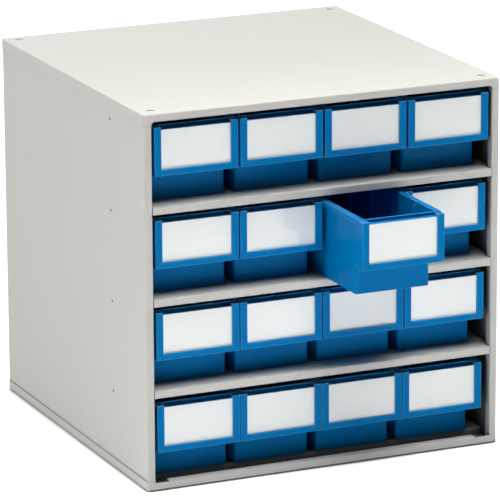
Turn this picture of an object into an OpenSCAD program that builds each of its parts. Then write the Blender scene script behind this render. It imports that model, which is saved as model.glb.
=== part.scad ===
// Steel parts cabinet with rows of pull-out plastic bins. Each bin has a label card behind a clear cover.
// X runs to the right, Y to the back and Z up. The origin is on the ground, under the middle of the cabinet.

/* [Bins] */
// Rows of bins
rows = 4; // [1:1:4]
// Bins in a row
cols = 4; // [1:1:4]
// Width of a bin over its rims
bin_w = 91.4; // [80:0.2:130]
// Height of a bin
bin_h = 82; // [76:0.5:120]
// Length of a bin
bin_l = 390; // [150:1:500]
// Thickness of a bin's walls
bin_wall = 1.8; // [1.4:0.1:2.4]
// Radius of a bin's upright corners, outside
corner_r = 3.5; // [3:0.5:6]
// How far the rims stand out from the side walls
rim_w = 4.2; // [3:0.1:6]
// Height of the rims' turned-down edge
rim_h = 5; // [3:0.5:12]

/* [Bin fronts] */
// Height of the front block's underside above the bin's base
block_z = 31; // [15:0.5:34]
// How far the lower front wall lies behind the block's face
block_d = 25; // [15:0.5:35]
// Depth of the block's wide cheeks
cheek_d = 11; // [10:0.5:14]
// Depth of the block's top, from its face to the bin's front wall
ledge_d = 8; // [7:0.5:9.5]
// Drop from the bin's front wall to the ledge between it and the label
ledge_drop = 3.6; // [1.6:0.1:4.4]
// Width of the label window
window_w = 76.5; // [60:0.5:77]
// Height of the label window, which is open at the top
window_h = 40.6; // [20:0.1:40.8]
// How far the card and its cover end below the ledge
card_drop = 0.4; // [0.2:0.1:1.5]
// Thickness of the frame round the label window
frame_t = 1.2; // [0.8:0.1:1.4]
// How far the frame's two side bars end below the rims
bar_drop = 1; // [0.2:0.1:1.5]
// How far the card reaches past the window, behind the frame
card_margin = 1.6; // [1:0.1:2]
// Thickness of a label card
card_t = 0.4; // [0.3:0.1:0.6]
// Thickness of a clear label cover
cover_t = 0.6; // [0.4:0.1:0.8]

/* [Divider guides] */
// Pairs of upright guides along each side wall
guide_count = 6; // [0:1:9]
// Slot between the two guides of a pair
guide_slot = 1.8; // [1.2:0.1:3]
// Width of one guide
guide_w = 1.4; // [1:0.1:2]
// How far the guides stand off the wall
guide_h = 1; // [0.6:0.1:1.6]

/* [Places of the bins] */
// Gap between neighbouring bins, top row first
row_gaps = [2.9, 2, 1.7, 1.1]; // [0.6:0.1:6]
// Gap between the outer bins and the posts in the most widely spaced row
side_gap = 3.75; // [1:0.05:6]
// How far the closed bins' faces lie behind the cabinet's front
bin_setback = 2.3; // [0:0.1:10]
// Gap between a closed bin and the back panel
rear_gap = 5.3; // [2:0.1:20]
// Room above a bin, under the lip of the shelf over it
head_room = 6.3; // [3:0.1:20]
// Height that the lowest row has more than the others
low_row_extra = 1.7; // [0:0.1:10]
// Running clearance under a bin
slide_gap = 0.3; // [0.2:0.05:0.6]
// Row of the pulled-out bin, counted from the top
open_row = 2; // [1:1:4]
// Place of the pulled-out bin in its row, counted from the left
open_col = 3; // [1:1:4]
// How far that bin is pulled out
open_pull = 95; // [0:1:140]
// How far that bin stands to the side of its place, as a share of the gap beside it
open_shift = -0.6; // [-0.7:0.05:0.7]

/* [Cabinet] */
// Thickness of the steel sheet
sheet = 0.8; // [0.6:0.1:1.2]
// Outer radius of the folds
fold_r = 1.5; // [1.3:0.1:2.5]
// Radius of the trays' upright corners
tray_corner_r = 4.2; // [3:0.1:5]
// Height of the flanges of the top and the bottom tray at the sides and the back
flange_h = [12, 9.8]; // [9:0.1:14]
// Height of the front lips
lip_h = 8; // [7:0.1:8.8]
// Radius of the front opening's upper and lower corners
opening_r = [3, 0.4]; // [0.2:0.1:6]
// Width of the side panels' front posts
post_w = 9.1; // [7:0.1:16]
// Depth of the posts
post_d = 10; // [6:0.5:16]
// Clearance round the shelves' lips and between the posts and the trays
seam = 0.2; // [0.1:0.05:0.4]
// Clearance between the side walls and the trays' flanges outside them
wall_play = 0.3; // [0.1:0.05:0.35]
// Depth of the strip folded back from the bottom tray's front lip
strip_d = 11; // [5:0.5:15]
// Distance from each end of the strip to the post beside it
strip_end = 15.9; // [5:0.1:40]
// How far the floor's front edge lies behind the cabinet's front
floor_setback = 30; // [20:0.5:33]

/* [Holes and feet] */
// Radius of the side panels' screw holes
hole_r = 1.5; // [1:0.1:3]
// Distance of the screw holes from the cabinet's front
hole_back = 92.3; // [30:0.1:120]
// Distance of the screw holes below the shelf over them
hole_drop = 23.3; // [15:0.1:60]
// Height of the feet below the bottom tray
foot_h = 0.8; // [0.6:0.1:0.9]
// Radius of the feet
foot_r = 4; // [3:0.1:5]
// Radius of the feet's stems
foot_stem_r = 2; // [1.5:0.1:2.5]
// Distance of the feet from the cabinet's sides, and from its front and back
foot_inset = [14.8, 16]; // [12:0.1:40]
// Clearance of a foot in the stacking recess of a cabinet below it
recess_gap = 0.25; // [0.15:0.05:0.6]
// Depth that a recess has more than a foot's height
recess_spare = 0.2; // [0.1:0.1:0.6]

/* [Hidden] */
$fn = 32;
e = 0.01;

open_w = cols * bin_w + (cols - 1) * max(row_gaps) + 2 * side_gap;
cab_w = open_w + 2 * post_w;
cab_d = bin_setback + bin_l + rear_gap + 3 * sheet;
row_pitch = bin_h + head_room + lip_h;
floor_z = foot_h + lip_h;
cab_h = floor_z + low_row_extra + rows * row_pitch;
front_y = -cab_d / 2;
back_y = cab_d / 2;
// The side walls' outer and inner faces, and the back panel's two faces
wall_x = cab_w / 2 - sheet - wall_play;
wall_in_x = wall_x - sheet;
panel_y = back_y - 2 * sheet;
panel_in_y = panel_y - sheet;

body_w = bin_w - 2 * rim_w;
inner_w = body_w - 2 * bin_wall;
ledge_z = bin_h - ledge_drop;
window_z = ledge_z - card_drop - window_h;
slot_w = window_w + 2 * card_margin;
slot_clear = 0.1;
slot_d = cover_t + card_t + 2 * slot_clear;
web_y = frame_t + slot_d + bin_wall;
card_clear = 0.4;
cover_y = frame_t + slot_clear;
card_z = window_z - card_margin;
card_h = ledge_z - card_drop - card_z;
// The front wall leans from the block's top back to its underside
lean = (block_d - ledge_d) / (bin_h - block_z);
lean_wall = bin_wall * sqrt(1 + lean * lean);
// Thickness of the rims, and how far the guides keep from the front, the rear and the top
rim_t = 1.5;
guide_front = 30;
guide_rear = 25;
guide_top = 4;
guide_first = block_d + guide_front;
guide_pitch = (bin_l - guide_first - guide_rear) / max(guide_count, 1);

recess_r = foot_r + recess_gap;
recess_h = foot_h + recess_spare;
foot_hole_gap = 0.1;
foot_head_w = 1.2;
foot_head_h = 0.8;

steel = "#d6d5d0";
blue = "#0a6fb8";
card_white = "#e8e9e9";
clear = "#e6eef4";
foot_grey = "#3a3a3c";

CABINET = ["top_panel", "bottom_tray", "floor_panel", "side_left", "side_right", "back_panel", "feet"];
SHELVES = [for (r = [1 : 1 : rows - 1]) str("shelf_r", r)];
BINS = [for (r = [1 : rows], c = [1 : cols]) str("bin_", place(r, c))];
CARDS = [for (r = [1 : rows], c = [1 : cols]) str("label_", place(r, c))];
COVERS = [for (r = [1 : rows], c = [1 : cols]) str("cover_", place(r, c))];

function place(r, c) = str("r", r, "c", c);
// Height of the surface that row r stands on: the floor for the last row, and a shelf for each other
function row_z(r) = r == rows ? floor_z : floor_z + low_row_extra + (rows - r) * row_pitch;
function is_open(r, c) = r == open_row && c == open_col;
function bin_x(r, c) = -open_w / 2 + side_gap + bin_w / 2 + (c - 1) * (bin_w + row_gaps[r - 1])
    + (is_open(r, c) ? open_shift * row_gaps[r - 1] : 0);
function pull(r, c) = is_open(r, c) ? open_pull : 0;
// Outer face of the leaning front wall, as a distance from the block's face
function lean_y(z) = block_d - (z - block_z) * lean;

// Flat shapes

module rounded_rect(w, d, r) {
    square([w - 2 * r, d], center = true);
    square([w, d - 2 * r], center = true);
    for (x = [-1, 1], y = [-1, 1]) translate([x * (w / 2 - r), y * (d / 2 - r)]) circle(r);
}

// A rectangle that stands on the X axis, with its two upper corners rounded
module top_rounded(w, h, r) {
    translate([-w / 2, 0]) square([w, h - r]);
    translate([-w / 2 + r, 0]) square([w - 2 * r, h]);
    for (s = [-1, 1]) translate([s * (w / 2 - r), h - r]) circle(r);
}

// Folded sheet

// A block with round upper edges and round upright corners
module soft_block(w, d, h, r, corner) {
    intersection() {
        rotate([90, 0, 0]) linear_extrude(d, center = true) top_rounded(w, h, r);
        rotate([90, 0, 90]) linear_extrude(w, center = true) top_rounded(d, h, r);
        linear_extrude(h) rounded_rect(w, d, corner);
    }
}

// A tray of sheet turned upside down, standing on its flanges
module folded_tray(w, d, h, corner) {
    difference() {
        soft_block(w, d, h, fold_r, corner);
        translate([0, 0, -e])
            soft_block(w - 2 * sheet, d - 2 * sheet, h - sheet + e, fold_r - sheet, corner - sheet);
    }
}

// The tray of the top (k = 0) or the bottom (k = 1): its front flange is lower between the posts
module end_tray(k) {
    notch_h = flange_h[k] - lip_h;
    difference() {
        folded_tray(cab_w, cab_d, flange_h[k], tray_corner_r);
        translate([0, front_y + tray_corner_r, -e]) rotate([90, 0, 0])
            linear_extrude(2 * tray_corner_r) top_rounded(open_w, notch_h + e, min(opening_r[k], notch_h));
    }
}

module at_feet() {
    for (x = [-1, 1], y = [-1, 1])
        translate([x * (cab_w / 2 - foot_inset[0]), y * (cab_d / 2 - foot_inset[1]), 0]) children();
}

module top_panel() {
    color(steel) difference() {
        union() {
            translate([0, 0, cab_h - flange_h[0]]) end_tray(0);
            // The pressed cups of the stacking recesses
            at_feet() translate([0, 0, cab_h - sheet - recess_h])
                cylinder(h = recess_h + e, r = recess_r + sheet);
        }
        at_feet() translate([0, 0, cab_h - recess_h]) cylinder(h = recess_h + e, r = recess_r);
    }
}

module bottom_tray() {
    strip_w = open_w - 2 * strip_end;
    color(steel) difference() {
        union() {
            translate([0, 0, foot_h + flange_h[1]]) mirror([0, 0, 1]) end_tray(1);
            // The strip folded back from the front lip
            translate([-strip_w / 2, front_y + sheet / 2, floor_z - sheet])
                cube([strip_w, strip_d - sheet / 2, sheet]);
        }
        at_feet() cylinder(h = floor_z - sheet, r = foot_stem_r + foot_hole_gap);
    }
}

module floor_panel() {
    base_z = foot_h + sheet;
    length = panel_in_y - front_y - floor_setback;
    color(steel) translate([0, panel_in_y - length / 2, base_z])
        folded_tray(2 * wall_in_x, length, floor_z - base_z, fold_r);
}

module shelf(r) {
    notch_x = open_w / 2 - seam;
    length = panel_in_y - front_y;
    color(steel) difference() {
        translate([0, panel_in_y - length / 2, row_z(r) - lip_h])
            folded_tray(2 * wall_in_x, length, lip_h, fold_r);
        // Notches that let the posts pass
        for (s = [-1, 1])
            translate([s * (notch_x + post_w / 2), front_y + (post_d + seam) / 2, row_z(r) - lip_h / 2])
                cube([post_w, post_d + seam + e, lip_h + 2 * e], center = true);
    }
}

// The left panel: a wall with a hollow post at the front and a narrow return at the back
module side_panel() {
    post_x = wall_x - open_w / 2;
    // The ends stay clear of the round inner edges of the trays' folds
    bottom_z = foot_h + fold_r;
    top_z = cab_h - fold_r;
    length = cab_d - sheet;
    step = [post_w + sheet, tray_corner_r + 2 * e];
    difference() {
        translate([-wall_x + post_x / 2, front_y + length / 2, bottom_z])
            linear_extrude(top_z - bottom_z) difference() {
                rounded_rect(post_x, length, fold_r);
                rounded_rect(post_x - 2 * sheet, length - 2 * sheet, fold_r - sheet);
                translate([-post_x / 2 + sheet, -length / 2 + post_d])
                    square([post_x, length - post_d - sheet]);
            }
        // The ends step back behind the trays' flanges
        for (y = [front_y, back_y - tray_corner_r]) translate([-cab_w / 2, y - e, 0]) {
            linear_extrude(foot_h + flange_h[1] + seam) square(step);
            translate([0, 0, cab_h - flange_h[0] - seam]) linear_extrude(flange_h[0] + seam) square(step);
        }
        for (r = [0 : rows - 1])
            translate([-cab_w / 2, front_y + hole_back, cab_h - hole_drop - r * row_pitch])
                rotate([0, 90, 0]) cylinder(h = post_w, r = hole_r);
    }
}

module side_left() {
    color(steel) side_panel();
}

module side_right() {
    color(steel) mirror([1, 0, 0]) side_panel();
}

module back_panel() {
    bottom_z = foot_h + sheet;
    color(steel) translate([-wall_in_x, panel_in_y, bottom_z])
        cube([2 * wall_in_x, sheet, cab_h - sheet - bottom_z]);
}

module feet() {
    color(foot_grey) at_feet() {
        cylinder(h = foot_h, r = foot_r);
        cylinder(h = foot_h + sheet + e, r = foot_stem_r);
        translate([0, 0, foot_h + sheet]) cylinder(h = foot_head_h, r = foot_stem_r + foot_head_w);
    }
}

// A bin stands on z = 0 with its face at y = 0, centred on x

module bin_outside() {
    neck_d = block_d + corner_r - cheek_d;
    // Front block with its wide cheeks
    translate([-bin_w / 2, 0, block_z]) cube([bin_w, cheek_d, bin_h - block_z]);
    translate([-body_w / 2, cheek_d - e, block_z]) cube([body_w, neck_d + e, bin_h - block_z]);
    translate([0, (block_d + bin_l) / 2, 0]) linear_extrude(bin_h)
        rounded_rect(body_w, bin_l - block_d, corner_r);
    // Rims
    for (s = [-1, 1])
        translate([s * (bin_w - rim_w) / 2, (cheek_d + bin_l) / 2, bin_h - rim_h / 2])
            cube([rim_w, bin_l - cheek_d + 2 * e, rim_h], center = true);
}

module bin_inside() {
    top_y = lean_y(bin_h) + lean_wall;
    low_y = lean_y(block_z) + lean_wall;
    past_y = block_d + bin_wall + corner_r;
    translate([0, (block_d + bin_l) / 2, bin_wall]) linear_extrude(bin_h)
        rounded_rect(inner_w, bin_l - block_d - 2 * bin_wall, corner_r - bin_wall);
    // Room above the leaning front wall
    rotate([90, 0, 90]) linear_extrude(inner_w, center = true) polygon([
        [top_y, bin_h + 1], [top_y, bin_h], [low_y, block_z], [past_y, block_z], [past_y, bin_h + 1]
    ]);
}

// The hollow behind the front plate, open below, where the fingers grip
module bin_grip() {
    web_z = ledge_z - bin_wall;
    cheek_w = bin_w - 2 * bin_wall;
    rotate([90, 0, 90]) linear_extrude(inner_w, center = true) polygon([
        [web_y, block_z - 1], [web_y, web_z], [lean_y(web_z), web_z],
        [block_d, block_z], [block_d, block_z - 1]
    ]);
    translate([-cheek_w / 2, web_y, block_z - 1])
        cube([cheek_w, cheek_d - bin_wall - web_y, web_z - block_z + 1]);
}

module bin_label_place() {
    translate([-window_w / 2, -1, window_z]) cube([window_w, frame_t + 1 + e, bin_h]);
    translate([-slot_w / 2, frame_t, card_z]) cube([slot_w, slot_d, bin_h]);
    // The ledge between the label and the bin's front wall
    rotate([90, 0, 90]) linear_extrude(window_w, center = true) polygon([
        [frame_t, ledge_z], [lean_y(ledge_z), ledge_z], [lean_y(bin_h), bin_h],
        [lean_y(bin_h), bin_h + 1], [frame_t, bin_h + 1]
    ]);
    // The side bars end below the rims
    translate([-bin_w / 2 - e, -1, bin_h - bar_drop]) cube([bin_w + 2 * e, ledge_d + 1, bar_drop + 1]);
}

module bin_rim_hollows() {
    for (s = [-1, 1])
        translate([s * (body_w + rim_w - rim_t) / 2, (cheek_d + bin_l) / 2, bin_h - rim_t - rim_h / 2])
            cube([rim_w - rim_t, bin_l - cheek_d - 2 * bin_wall, rim_h], center = true);
}

module bin_guides() {
    height = bin_h - bin_wall - guide_top;
    for (i = [0 : 1 : guide_count - 1], s = [-1, 1], k = [-1, 1])
        translate([
            s * (inner_w - guide_h) / 2, guide_first + i * guide_pitch + k * (guide_slot + guide_w) / 2,
            bin_wall + height / 2
        ]) cube([guide_h + 2 * e, guide_w, height + 2 * e], center = true);
}

module bin() {
    color(blue) {
        difference() {
            bin_outside();
            bin_inside();
            bin_grip();
            bin_label_place();
            bin_rim_hollows();
        }
        bin_guides();
    }
}

module label_piece(y, thickness) {
    width = slot_w - 2 * card_clear;
    translate([-width / 2, y, card_z]) cube([width, thickness, card_h]);
}

module label() {
    color(card_white) label_piece(cover_y + cover_t, card_t);
}

module cover() {
    color(clear, 0.35) label_piece(cover_y, cover_t);
}

module at_place(r, c) {
    translate([bin_x(r, c), front_y + bin_setback - pull(r, c), row_z(r) + slide_gap]) children();
}

top_panel();
bottom_tray();
floor_panel();
side_left();
side_right();
back_panel();
feet();
for (r = [1 : 1 : rows - 1]) shelf(r);
for (r = [1 : rows], c = [1 : cols]) {
    at_place(r, c) bin();
    at_place(r, c) label();
    at_place(r, c) cover();
}
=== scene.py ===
import math

import bpy
import bmesh
from mathutils import Matrix, Vector

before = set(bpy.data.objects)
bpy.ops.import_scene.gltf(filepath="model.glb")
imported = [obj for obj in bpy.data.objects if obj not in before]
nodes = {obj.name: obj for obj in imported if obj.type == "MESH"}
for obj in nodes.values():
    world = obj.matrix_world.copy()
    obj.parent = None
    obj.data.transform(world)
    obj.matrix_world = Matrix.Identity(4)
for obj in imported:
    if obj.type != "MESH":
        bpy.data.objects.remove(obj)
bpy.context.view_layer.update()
scene = bpy.context.scene

# Metres, +X right, +Y back, +Z up. The cabinet stands on z = 0 and its bins pull out along -Y.
mm = 0.001
noiseSpread = (0.3, 0.7)        # nearly all values of a noise lie between these


def fromHex(code):
    # sRGB hex to the linear colour that the shaders take
    parts = [int(code[i:i + 2], 16) / 255 for i in (1, 3, 5)]
    linear = [p / 12.92 if p <= 0.04045 else ((p + 0.055) / 1.055) ** 2.4 for p in parts]
    return tuple(linear) + (1.0,)


def addNode(tree, kind, settings=None, inputs=None):
    # a new node, its settings, and its inputs as plain values or as sockets to link
    node = tree.nodes.new(kind)
    for name, value in (settings or {}).items():
        setattr(node, name, value)
    for name, value in (inputs or {}).items():
        if isinstance(value, bpy.types.NodeSocket):
            tree.links.new(value, node.inputs[name])
        else:
            node.inputs[name].default_value = value
    return node


def newMaterial(name):
    material = bpy.data.materials.new(name)
    material.use_nodes = True
    material.node_tree.nodes.clear()
    return material, material.node_tree


maskLook = {
    "edgeCosine": (0.99, 0.85),     # between a face and its rounded edge: still flat, fully edge
    "edgeTilt": (0.2, 0.6),         # z of the rounded normal: looks sideways, looks up
    "edgeSide": 0.35,               # what the edges that look sideways keep of the mask
    "edgeSamples": 6,
    "hollowSamples": 10,
}


def edgeMask(tree, reachMm):
    # 1 along the edges that look up, about a third of that along the others, 0 on the flats
    rounded = addNode(tree, "ShaderNodeBevel", {"samples": maskLook["edgeSamples"]}, {
        "Radius": reachMm * mm})
    turn = addNode(tree, "ShaderNodeVectorMath", {"operation": "DOT_PRODUCT"}, {
        0: rounded.outputs["Normal"], 1: addNode(tree, "ShaderNodeNewGeometry").outputs["Normal"]})
    flat, sharp = maskLook["edgeCosine"]
    edge = addNode(tree, "ShaderNodeMapRange", inputs={
        "Value": turn.outputs["Value"], "From Min": flat, "From Max": sharp})
    tilt = addNode(tree, "ShaderNodeSeparateXYZ", inputs={"Vector": rounded.outputs["Normal"]})
    sideways, upward = maskLook["edgeTilt"]
    up = addNode(tree, "ShaderNodeMapRange", inputs={
        "Value": tilt.outputs["Z"], "From Min": sideways, "From Max": upward,
        "To Min": maskLook["edgeSide"], "To Max": 1.0})
    return addNode(tree, "ShaderNodeMath", {"operation": "MULTIPLY"}, {
        0: edge.outputs["Result"], 1: up.outputs["Result"]}).outputs[0]


def hollowMask(tree, reachMm, shares, alone=False):
    # 0 where a place is as open as the first share, 1 where it is as shut in as the second
    airy, shut = shares
    around = addNode(tree, "ShaderNodeAmbientOcclusion", {
        "samples": maskLook["hollowSamples"], "only_local": alone}, {"Distance": reachMm * mm})
    return addNode(tree, "ShaderNodeMapRange", inputs={
        "Value": around.outputs["AO"], "From Min": airy, "From Max": shut}).outputs["Result"]


steelLook = {
    "colour": "#C3C2BC",
    "colourLow": "#C0BFB8",         # where the powder lies a little thinner
    "cloudMm": 90,                  # size of those thinner patches
    "peelMm": 2.2,                  # real orange peel is 1 to 2 mm, drawn coarser so that it shows
    "peelDepthMm": 0.012,
    "peelStrength": 0.6,
    "grainMm": 0.7,                 # the powder's own grain
    "roughness": (0.46, 0.54),
    "ior": 1.5,
    "seamShadeColour": "#7A766F",        # painted shade in the seams and creases between the sheets, darker the more shut in
    "seamShadeMm": 2.5,
    "seamShadeShares": (0.9, 0.45),
    "noSeamShadeFromMm": (392, 394),      # no painted seam shade above, so that the top's recesses stay faint
    "hollowShadeColour": "#3C4142",      # painted shade, no real coat: it deepens the hollows, which come out too pale
    "insideMm": 60,
    "insideShares": (0.42, 0.17),
}


def powderCoatedSteel():
    # Polyester powder baked on steel sheet: an even satin skin, a faint orange peel, no metal shows
    material, tree = newMaterial("powder_coated_steel")
    place = addNode(tree, "ShaderNodeTexCoord").outputs["Object"]
    clouds = addNode(tree, "ShaderNodeTexNoise", inputs={
        "Vector": place, "Scale": 1 / (steelLook["cloudMm"] * mm), "Detail": 3.0,
        "Roughness": 0.5})
    peel = addNode(tree, "ShaderNodeTexNoise", inputs={
        "Vector": place, "Scale": 1 / (steelLook["peelMm"] * mm), "Detail": 1.0})
    grain = addNode(tree, "ShaderNodeTexNoise", inputs={
        "Vector": place, "Scale": 1 / (steelLook["grainMm"] * mm), "Detail": 0.0})
    tone = addNode(tree, "ShaderNodeMix", {"data_type": "RGBA"}, {
        "Factor": clouds.outputs["Fac"],
        "A": fromHex(steelLook["colourLow"]), "B": fromHex(steelLook["colour"])})
    # painted shade in the seams and creases, faded out on the top
    height = addNode(tree, "ShaderNodeSeparateXYZ", inputs={"Vector": place})
    fadeFrom, fadeTo = steelLook["noSeamShadeFromMm"]
    below = addNode(tree, "ShaderNodeMapRange", inputs={
        "Value": height.outputs["Z"], "From Min": fadeFrom * mm, "From Max": fadeTo * mm,
        "To Min": 1.0, "To Max": 0.0})
    seamShade = addNode(tree, "ShaderNodeMath", {"operation": "MULTIPLY"}, {
        0: hollowMask(tree, steelLook["seamShadeMm"], steelLook["seamShadeShares"]),
        1: below.outputs["Result"]})
    seamShaded = addNode(tree, "ShaderNodeMix", {"data_type": "RGBA"}, {
        "Factor": seamShade.outputs[0], "A": tone.outputs["Result"],
        "B": fromHex(steelLook["seamShadeColour"])})
    # painted shade deep in the hollows
    shaded = addNode(tree, "ShaderNodeMix", {"data_type": "RGBA"}, {
        "Factor": hollowMask(tree, steelLook["insideMm"], steelLook["insideShares"]),
        "A": seamShaded.outputs["Result"], "B": fromHex(steelLook["hollowShadeColour"])})
    smooth, rough = steelLook["roughness"]
    satin = addNode(tree, "ShaderNodeMapRange", inputs={
        "Value": grain.outputs["Fac"], "From Min": noiseSpread[0], "From Max": noiseSpread[1],
        "To Min": smooth, "To Max": rough})
    bump = addNode(tree, "ShaderNodeBump", inputs={
        "Height": peel.outputs["Fac"], "Strength": steelLook["peelStrength"],
        "Distance": steelLook["peelDepthMm"] * mm})
    shader = addNode(tree, "ShaderNodeBsdfPrincipled", inputs={
        "Base Color": shaded.outputs["Result"], "Roughness": satin.outputs["Result"],
        "Normal": bump.outputs["Normal"], "IOR": steelLook["ior"]})
    addNode(tree, "ShaderNodeOutputMaterial", inputs={"Surface": shader.outputs["BSDF"]})
    return material


binLook = {
    "colour": "#0077B8",
    "colourDeep": "#0072B1",        # flow marks of the melt
    "flowMm": 60,
    "sparkMm": 0.9,                 # a spark-eroded mould skin is finer, drawn to show
    "sparkDepthMm": 0.008,
    "sparkStrength": 0.5,
    "roughness": (0.2, 0.28),
    "ior": 1.49,
    "specular": 0.03,               # matched low, because a stronger sheen greys the blue
    "edgeSpecular": 0.8,            # the edges catch the room's light as a thin bright line
    "edgeHighlightColour": "#9CCCE4",        # painted highlight: paler along the edges, most on those that look up
    "edgeMm": 0.8,
    "hollowShadeColour": "#03304A",      # painted shade on the bin's own hollows only, so it moves with the bin
    "insideMm": 60,
    "insideShares": (0.3, 0.08),
}


def mouldedPolypropylene():
    # Polypropylene, injection moulded and dyed through: satin sheen, even but for faint flow marks,
    # a painted highlight on its edges and painted shade in its hollows
    material, tree = newMaterial("injection_moulded_polypropylene")
    place = addNode(tree, "ShaderNodeTexCoord").outputs["Object"]
    flow = addNode(tree, "ShaderNodeTexNoise", inputs={
        "Vector": place, "Scale": 1 / (binLook["flowMm"] * mm), "Detail": 2.0,
        "Distortion": 0.6})
    spark = addNode(tree, "ShaderNodeTexNoise", inputs={
        "Vector": place, "Scale": 1 / (binLook["sparkMm"] * mm), "Detail": 2.0})
    tone = addNode(tree, "ShaderNodeMix", {"data_type": "RGBA"}, {
        "Factor": flow.outputs["Fac"],
        "A": fromHex(binLook["colourDeep"]), "B": fromHex(binLook["colour"])})
    edge = edgeMask(tree, binLook["edgeMm"])
    # painted highlight along the edges
    edgeHighlighted = addNode(tree, "ShaderNodeMix", {"data_type": "RGBA"}, {
        "Factor": edge, "A": tone.outputs["Result"], "B": fromHex(binLook["edgeHighlightColour"])})
    # painted shade in the bin's own hollows
    shaded = addNode(tree, "ShaderNodeMix", {"data_type": "RGBA"}, {
        "Factor": hollowMask(tree, binLook["insideMm"], binLook["insideShares"], alone=True),
        "A": edgeHighlighted.outputs["Result"], "B": fromHex(binLook["hollowShadeColour"])})
    shine = addNode(tree, "ShaderNodeMapRange", inputs={
        "Value": edge, "To Min": binLook["specular"], "To Max": binLook["edgeSpecular"]})
    smooth, rough = binLook["roughness"]
    satin = addNode(tree, "ShaderNodeMapRange", inputs={
        "Value": flow.outputs["Fac"], "From Min": noiseSpread[0], "From Max": noiseSpread[1],
        "To Min": smooth, "To Max": rough})
    bump = addNode(tree, "ShaderNodeBump", inputs={
        "Height": spark.outputs["Fac"], "Strength": binLook["sparkStrength"],
        "Distance": binLook["sparkDepthMm"] * mm})
    shader = addNode(tree, "ShaderNodeBsdfPrincipled", inputs={
        "Base Color": shaded.outputs["Result"], "Roughness": satin.outputs["Result"],
        "Normal": bump.outputs["Normal"], "IOR": binLook["ior"],
        "Specular IOR Level": shine.outputs["Result"]})
    addNode(tree, "ShaderNodeOutputMaterial", inputs={"Surface": shader.outputs["BSDF"]})
    return material


cardLook = {
    "colour": "#FDFDFB",
    "colourLow": "#F9F9F8",
    "fibreMm": 0.8,                 # real fibres are finer, drawn coarser so that they show
    "fibreDepthMm": 0.01,
    "fibreStrength": 0.3,
    "roughness": 0.75,
}


def pressedCard():
    # White index card, pressed from bleached pulp: matt, with a faint fibre mottle
    material, tree = newMaterial("pressed_white_card")
    place = addNode(tree, "ShaderNodeTexCoord").outputs["Object"]
    fibre = addNode(tree, "ShaderNodeTexNoise", inputs={
        "Vector": place, "Scale": 1 / (cardLook["fibreMm"] * mm), "Detail": 3.0})
    tone = addNode(tree, "ShaderNodeMix", {"data_type": "RGBA"}, {
        "Factor": fibre.outputs["Fac"],
        "A": fromHex(cardLook["colourLow"]), "B": fromHex(cardLook["colour"])})
    bump = addNode(tree, "ShaderNodeBump", inputs={
        "Height": fibre.outputs["Fac"], "Strength": cardLook["fibreStrength"],
        "Distance": cardLook["fibreDepthMm"] * mm})
    shader = addNode(tree, "ShaderNodeBsdfPrincipled", inputs={
        "Base Color": tone.outputs["Result"], "Roughness": cardLook["roughness"],
        "Normal": bump.outputs["Normal"]})
    addNode(tree, "ShaderNodeOutputMaterial", inputs={"Surface": shader.outputs["BSDF"]})
    return material


coverLook = {
    "tint": "#FDFEFE",
    "ior": 1.49,
    "roughness": (0.05, 0.09),
    "waveMm": 24,                   # a rolled strip is never quite flat
    "waveDepthMm": 0.02,
    "waveStrength": 0.5,
}


def rolledClearStrip():
    # Clear acrylic strip, rolled: nearly unseen from the front, mirrors more the flatter it is seen
    material, tree = newMaterial("rolled_clear_acrylic")
    place = addNode(tree, "ShaderNodeTexCoord").outputs["Object"]
    wave = addNode(tree, "ShaderNodeTexNoise", inputs={
        "Vector": place, "Scale": 1 / (coverLook["waveMm"] * mm), "Detail": 0.0})
    smooth, rough = coverLook["roughness"]
    satin = addNode(tree, "ShaderNodeMapRange", inputs={
        "Value": wave.outputs["Fac"], "From Min": noiseSpread[0], "From Max": noiseSpread[1],
        "To Min": smooth, "To Max": rough})
    bump = addNode(tree, "ShaderNodeBump", inputs={
        "Height": wave.outputs["Fac"], "Strength": coverLook["waveStrength"],
        "Distance": coverLook["waveDepthMm"] * mm})
    fresnel = addNode(tree, "ShaderNodeFresnel", inputs={
        "IOR": coverLook["ior"], "Normal": bump.outputs["Normal"]})
    # the strip's inner skin adds no mirror
    front = addNode(tree, "ShaderNodeMath", {"operation": "SUBTRACT"}, {
        0: 1.0, 1: addNode(tree, "ShaderNodeNewGeometry").outputs["Backfacing"]})
    mirror = addNode(tree, "ShaderNodeMath", {"operation": "MULTIPLY"}, {
        0: fresnel.outputs["Fac"], 1: front.outputs[0]})
    clear = addNode(tree, "ShaderNodeBsdfTransparent", inputs={"Color": fromHex(coverLook["tint"])})
    gloss = addNode(tree, "ShaderNodeBsdfGlossy", inputs={
        "Color": (1, 1, 1, 1), "Roughness": satin.outputs["Result"],
        "Normal": bump.outputs["Normal"]})
    both = addNode(tree, "ShaderNodeMixShader", inputs={
        0: mirror.outputs[0], 1: clear.outputs["BSDF"], 2: gloss.outputs["BSDF"]})
    addNode(tree, "ShaderNodeOutputMaterial", inputs={"Surface": both.outputs["Shader"]})
    return material


rubberLook = {
    "colour": "#2E2E30",
    "colourPale": "#3A3A3B",
    "grainMm": 0.6,
    "grainDepthMm": 0.03,
    "grainStrength": 0.4,
    "roughness": 0.8,
}


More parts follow.
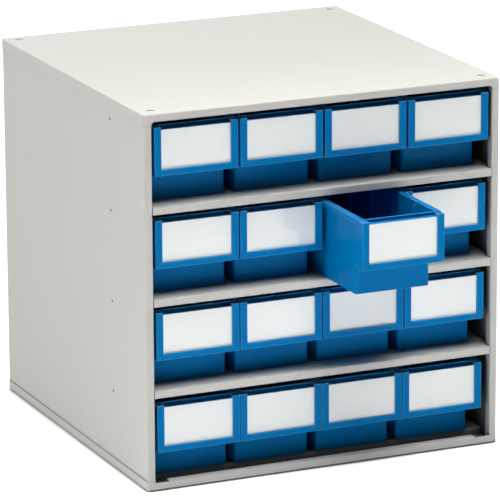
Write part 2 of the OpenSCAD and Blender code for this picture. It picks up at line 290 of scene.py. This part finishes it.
def mouldedRubber():
    # Nitrile rubber, compression moulded: matt, near black, with a fine grey mottle
    material, tree = newMaterial("compression_moulded_rubber")
    place = addNode(tree, "ShaderNodeTexCoord").outputs["Object"]
    grain = addNode(tree, "ShaderNodeTexNoise", inputs={
        "Vector": place, "Scale": 1 / (rubberLook["grainMm"] * mm), "Detail": 2.0})
    tone = addNode(tree, "ShaderNodeMix", {"data_type": "RGBA"}, {
        "Factor": grain.outputs["Fac"],
        "A": fromHex(rubberLook["colour"]), "B": fromHex(rubberLook["colourPale"])})
    bump = addNode(tree, "ShaderNodeBump", inputs={
        "Height": grain.outputs["Fac"], "Strength": rubberLook["grainStrength"],
        "Distance": rubberLook["grainDepthMm"] * mm})
    shader = addNode(tree, "ShaderNodeBsdfPrincipled", inputs={
        "Base Color": tone.outputs["Result"], "Roughness": rubberLook["roughness"],
        "Normal": bump.outputs["Normal"]})
    addNode(tree, "ShaderNodeOutputMaterial", inputs={"Surface": shader.outputs["BSDF"]})
    return material


finishes = {
    "steel": powderCoatedSteel(),
    "bin": mouldedPolypropylene(),
    "label": pressedCard(),
    "cover": rolledClearStrip(),
    "feet": mouldedRubber(),
}
print("materials:", len(finishes))

# A fold or a moulded edge is never knife sharp, so each one gets a small round
edgeRounds = {
    "steel": {"roundMm": 0.25, "steps": 2},
    "bin": {"roundMm": 0.4, "steps": 2},
}

edgeWork = {
    "weldMm": 0.01,
    "flatDegrees": 0.5,             # triangles of one flat face become one face
    "roundDegrees": 40,             # an edge sharper than this gets its round
    "smoothDegrees": 35,            # a flatter one than this is shaded smooth
    "faceWeight": 80,
}


def shadeByAngle():
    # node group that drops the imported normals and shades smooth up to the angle
    group = bpy.data.node_groups.new("shadeByAngle", "GeometryNodeTree")
    for way in ("INPUT", "OUTPUT"):
        group.interface.new_socket("Geometry", in_out=way, socket_type="NodeSocketGeometry")
    start = addNode(group, "NodeGroupInput")
    plain = addNode(group, "GeometryNodeRemoveAttribute", inputs={
        "Geometry": start.outputs["Geometry"], "Name": "custom_normal"})
    angle = addNode(group, "GeometryNodeInputMeshEdgeAngle")
    soft = addNode(group, "FunctionNodeCompare", {
        "data_type": "FLOAT", "operation": "LESS_THAN"}, {
        "A": angle.outputs["Unsigned Angle"], "B": math.radians(edgeWork["smoothDegrees"])})
    faces = addNode(group, "GeometryNodeSetShadeSmooth", {"domain": "FACE"}, {
        "Geometry": plain.outputs["Geometry"], "Shade Smooth": True})
    edges = addNode(group, "GeometryNodeSetShadeSmooth", {"domain": "EDGE"}, {
        "Geometry": faces.outputs["Geometry"], "Shade Smooth": soft.outputs["Result"]})
    addNode(group, "NodeGroupOutput", inputs={"Geometry": edges.outputs["Geometry"]})
    return group


shadeGroup = shadeByAngle()


def roundEdges(piece, settings):
    weld = piece.modifiers.new("weld", "WELD")
    weld.merge_threshold = edgeWork["weldMm"] * mm
    flat = piece.modifiers.new("flat", "DECIMATE")
    flat.decimate_type = "DISSOLVE"
    flat.angle_limit = math.radians(edgeWork["flatDegrees"])
    edge = piece.modifiers.new("edge", "BEVEL")
    edge.width = settings["roundMm"] * mm
    edge.segments = settings["steps"]
    edge.limit_method = "ANGLE"
    edge.angle_limit = math.radians(edgeWork["roundDegrees"])
    shade = piece.modifiers.new("shade", "NODES")
    shade.node_group = shadeGroup
    normals = piece.modifiers.new("normals", "WEIGHTED_NORMAL")
    normals.keep_sharp = True
    normals.weight = edgeWork["faceWeight"]


airGapMm = 0.04


def airGap(piece):
    # the card and its clear cover touch; a hair of air between them keeps their two skins apart
    gap = piece.modifiers.new("airGap", "DISPLACE")
    gap.strength = -airGapMm * math.sqrt(3) * mm        # corners move along their diagonal
    gap.mid_level = 0.0


def finishOf(name):
    kind = name.split("_")[0]
    return kind if kind in finishes else "steel"


for name, piece in nodes.items():
    kind = finishOf(name)
    piece.data.materials.clear()
    piece.data.materials.append(finishes[kind])
    if kind in edgeRounds:
        roundEdges(piece, edgeRounds[kind])
    if kind == "label":
        airGap(piece)
print("finishes and edges on", len(nodes), "pieces")


def seenDirectly(tree):
    # 1 for what the camera, a mirror or a clear piece shows, 0 for the light that falls on things
    path = addNode(tree, "ShaderNodeLightPath")
    seen = addNode(tree, "ShaderNodeMath", {"operation": "MAXIMUM"}, {
        0: path.outputs["Is Camera Ray"], 1: path.outputs["Is Glossy Ray"]})
    return addNode(tree, "ShaderNodeMath", {"operation": "MAXIMUM"}, {
        0: seen.outputs[0], 1: path.outputs["Is Transmission Ray"]}).outputs[0]


floorLook = {
    "size": 14.0,
    "albedo": "#EDEDED",
    "lift": (0.6, 1.0),             # near the cabinet, and far off where the lamps don't reach
    "liftReach": (0.7, 1.8),
    "contactMm": 16,                # painted contact shadow: the dark line where the cabinet meets the floor
    "contactShares": (0.55, 0.85),  # fully dark, fully clear
    "contactSamples": 8,
}


def plainFloor():
    # Pale studio floor. What the camera and mirrors see is lifted to white, and the shadow stays.
    mesh = bpy.data.meshes.new("floor")
    shape = bmesh.new()
    half = floorLook["size"] / 2
    corners = ((-half, -half), (half, -half), (half, half), (-half, half))
    shape.faces.new([shape.verts.new((x, y, 0)) for x, y in corners])
    shape.to_mesh(mesh)
    shape.free()
    floor = bpy.data.objects.new("floor", mesh)
    scene.collection.objects.link(floor)
    material, tree = newMaterial("painted_studio_floor")
    seen = seenDirectly(tree)
    far = addNode(tree, "ShaderNodeVectorMath", {"operation": "LENGTH"}, {
        0: addNode(tree, "ShaderNodeTexCoord").outputs["Object"]})
    nearEnd, farEnd = floorLook["liftReach"]
    nearLift, farLift = floorLook["lift"]
    level = addNode(tree, "ShaderNodeMapRange", inputs={
        "Value": far.outputs["Value"], "From Min": nearEnd, "From Max": farEnd,
        "To Min": nearLift, "To Max": farLift})
    # painted contact shadow: the lift fades where the cabinet shuts the floor in
    touch = addNode(tree, "ShaderNodeAmbientOcclusion", {
        "samples": floorLook["contactSamples"]}, {"Distance": floorLook["contactMm"] * mm})
    darkest, clearest = floorLook["contactShares"]
    clear = addNode(tree, "ShaderNodeMapRange", inputs={
        "Value": touch.outputs["AO"], "From Min": darkest, "From Max": clearest,
        "To Max": level.outputs["Result"]})
    lift = addNode(tree, "ShaderNodeMath", {"operation": "MULTIPLY"}, {
        0: seen, 1: clear.outputs["Result"]})
    paint = addNode(tree, "ShaderNodeBsdfDiffuse", inputs={"Color": fromHex(floorLook["albedo"])})
    glow = addNode(tree, "ShaderNodeEmission", inputs={"Strength": lift.outputs[0]})
    both = addNode(tree, "ShaderNodeAddShader", inputs={
        0: paint.outputs["BSDF"], 1: glow.outputs["Emission"]})
    # seen from below, the floor is open
    oneSided = addNode(tree, "ShaderNodeMixShader", inputs={
        0: addNode(tree, "ShaderNodeNewGeometry").outputs["Backfacing"],
        1: both.outputs["Shader"],
        2: addNode(tree, "ShaderNodeBsdfTransparent").outputs["BSDF"]})
    addNode(tree, "ShaderNodeOutputMaterial", inputs={"Surface": oneSided.outputs["Shader"]})
    mesh.materials.append(material)


roomLight = {
    "strength": 0.04,               # what the room gives the cabinet
    "seen": 1.0,                    # what the camera and mirrors see of it
}


def studioRoom():
    world = bpy.data.worlds.new("studio")
    world.use_nodes = True
    tree = world.node_tree
    tree.nodes.clear()
    strength = addNode(tree, "ShaderNodeMapRange", inputs={
        "Value": seenDirectly(tree), "To Min": roomLight["strength"], "To Max": roomLight["seen"]})
    glow = addNode(tree, "ShaderNodeBackground", inputs={
        "Color": (1, 1, 1, 1), "Strength": strength.outputs["Result"]})
    addNode(tree, "ShaderNodeOutputWorld", inputs={"Surface": glow.outputs["Background"]})
    scene.world = world


plainFloor()
studioRoom()
print("floor and room set")

cabinetAim = (0, -0.1, 0.2)

# places and sizes in metres, power in watts, spread in degrees
lamps = {
    "overheadSoftbox": {
        "place": (0, 0.5, 3.0), "aim": cabinetAim, "size": (1.8, 1.8),
        "power": 51, "spread": 180},
    "leftSoftbox": {
        "place": (-2.2, 0, 2.2), "aim": cabinetAim, "size": (1.4, 1.4),
        "power": 41, "spread": 180},
    "frontStrip": {
        "place": (0.3, -1.5, 2.8), "aim": cabinetAim, "size": (1.2, 0.8),
        "power": 34, "spread": 180},
    "floorStrip": {     # a narrow beam on the floor in front
        "place": (0, -0.8, 2.0), "aim": (0, -0.81, 0), "size": (2.0, 0.8),
        "power": 7.5, "spread": 40},
}


def addLamp(name, settings):
    light = bpy.data.lights.new(name, "AREA")
    light.shape = "RECTANGLE"
    light.size, light.size_y = settings["size"]
    light.energy = settings["power"]
    light.spread = math.radians(settings["spread"])
    lamp = bpy.data.objects.new(name, light)
    lamp.location = settings["place"]
    ahead = Vector(settings["aim"]) - Vector(settings["place"])
    lamp.rotation_euler = ahead.to_track_quat("-Z", "Y").to_euler()
    lamp.visible_camera = False     # other views may look through a lamp's place
    scene.collection.objects.link(lamp)


for name, settings in lamps.items():
    addLamp(name, settings)
print("lamps:", len(lamps))

cameraView = {
    "place": (-1.75444, -3.97070, 1.36244),
    "azimuth": -23.89,              # degrees; 0 looks along +Y
    "elevation": 15.18,
    "roll": -0.33,
    "lens": 302.7,                  # mm, on a 36 mm wide sensor
    "sensor": 36.0,
    "clipEnd": 50,
}


def addCamera():
    azimuth, elevation, roll = (
        math.radians(cameraView[k]) for k in ("azimuth", "elevation", "roll"))
    ahead = Vector((
        -math.sin(azimuth) * math.cos(elevation), math.cos(azimuth) * math.cos(elevation),
        -math.sin(elevation)))
    right = ahead.cross(Vector((0, 0, 1))).normalized()
    down = ahead.cross(right)
    rolledRight = right * math.cos(roll) - down * math.sin(roll)
    rolledDown = right * math.sin(roll) + down * math.cos(roll)
    turn = Matrix((rolledRight, -rolledDown, -ahead)).transposed()
    data = bpy.data.cameras.new("camera")
    data.lens = cameraView["lens"]
    data.sensor_width = cameraView["sensor"]
    data.clip_end = cameraView["clipEnd"]
    camera = bpy.data.objects.new("camera", data)
    camera.matrix_world = Matrix.Translation(Vector(cameraView["place"])) @ turn.to_4x4()
    scene.collection.objects.link(camera)
    scene.camera = camera


addCamera()
scene.view_settings.view_transform = "Standard"
print("camera set")
